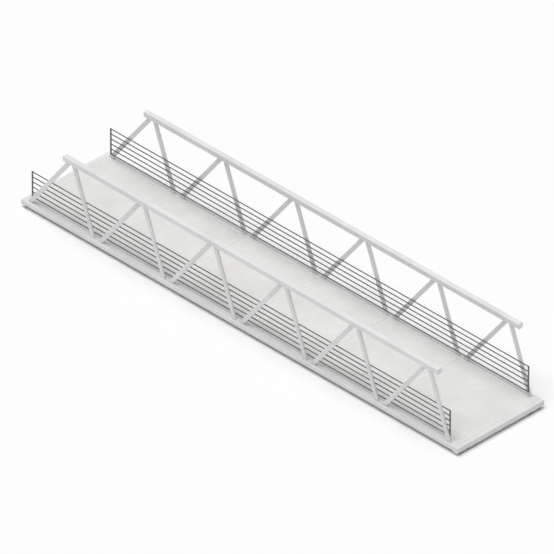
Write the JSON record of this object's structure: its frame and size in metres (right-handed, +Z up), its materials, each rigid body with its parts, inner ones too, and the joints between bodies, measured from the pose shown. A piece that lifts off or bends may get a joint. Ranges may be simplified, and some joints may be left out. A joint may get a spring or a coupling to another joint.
{
  "type": "steel pedestrian bridge",
  "caption": "Half-through truss footbridge with square-tube chords, leaning web diagonals, bar rails and a flat concrete deck on cross beams.",
  "frame": {"origin": "on the ground, at the middle of the bridge's length and width", "axes": "+X along the bridge towards the end with the longer chord overhang, +Y across it towards the rear truss, +Z up"},
  "size_m": [10.45, 2.05, 1.5],
  "materials": {
    "truss_paint": "satin white paint",
    "floor_paint": "pale grey paint",
    "concrete": "broomed concrete",
    "galvanised_sheet": "galvanised sheet",
    "rail_paint": "dark grey paint",
    "bearing_steel": "dull zinc"
  },
  "bodies": {
    "root": {"top_chord_front": "truss_paint", "top_chord_rear": "truss_paint", "top_chord_caps": "truss_paint", "bottom_chord_front": "truss_paint", "bottom_chord_rear": "truss_paint", "web_front_1": "truss_paint", "web_front_2": "truss_paint", "web_front_3": "truss_paint", "web_front_4": "truss_paint", "web_front_5": "truss_paint", "web_front_6": "truss_paint", "web_rear_1": "truss_paint", "web_rear_2": "truss_paint", "web_rear_3": "truss_paint", "web_rear_4": "truss_paint", "web_rear_5": "truss_paint", "web_rear_6": "truss_paint", "end_beam_left": "truss_paint", "end_beam_right": "truss_paint", "end_beam_caps": "truss_paint", "floor_beam_1": "floor_paint", "floor_beam_2": "floor_paint", "floor_beam_3": "floor_paint", "floor_beam_4": "floor_paint", "floor_beam_5": "floor_paint", "beam_brackets": "floor_paint", "stringers": "floor_paint", "edge_angle_front": "floor_paint", "edge_angle_rear": "floor_paint", "deck_slab": "concrete", "deck_pan": "galvanised_sheet", "safety_rails_front": "rail_paint", "safety_rails_rear": "rail_paint", "rail_end_bars_front": "rail_paint", "rail_end_bars_rear": "rail_paint", "bearing_front_left": "bearing_steel", "bearing_front_right": "bearing_steel", "bearing_rear_left": "bearing_steel", "bearing_rear_right": "bearing_steel"}
  },
  "joints": []
}
